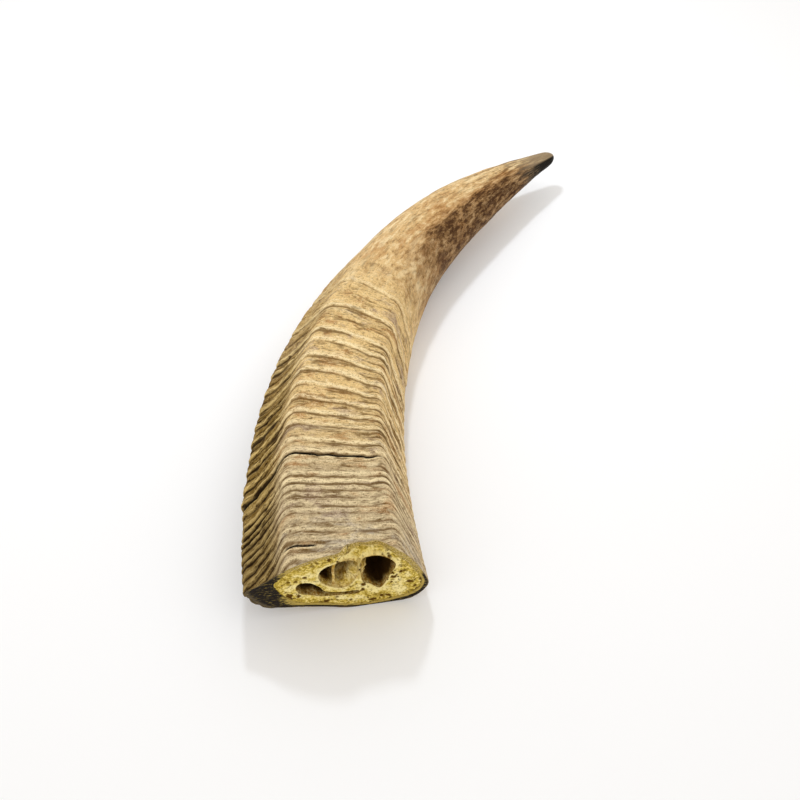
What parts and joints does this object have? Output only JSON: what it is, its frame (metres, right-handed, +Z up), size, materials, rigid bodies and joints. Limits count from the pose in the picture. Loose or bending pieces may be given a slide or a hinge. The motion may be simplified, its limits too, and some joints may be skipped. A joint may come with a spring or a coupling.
{
  "type": "goat horn",
  "caption": "Curved, ringed goat horn lying on its flat side, sawn off across the base to show the porous bone core inside the horn sheath.",
  "frame": {"origin": "on the floor under the middle of the horn's bounding box", "axes": "+Y along the horn from the sawn end, square to the saw cut; +X towards the inside of its bend; +Z up"},
  "size_m": [0.151, 0.2015, 0.0335],
  "materials": {
    "horn": null,
    "bone": null
  },
  "bodies": {
    "root": {"horn_sheath": "horn", "bone_core": "bone"}
  },
  "joints": []
}
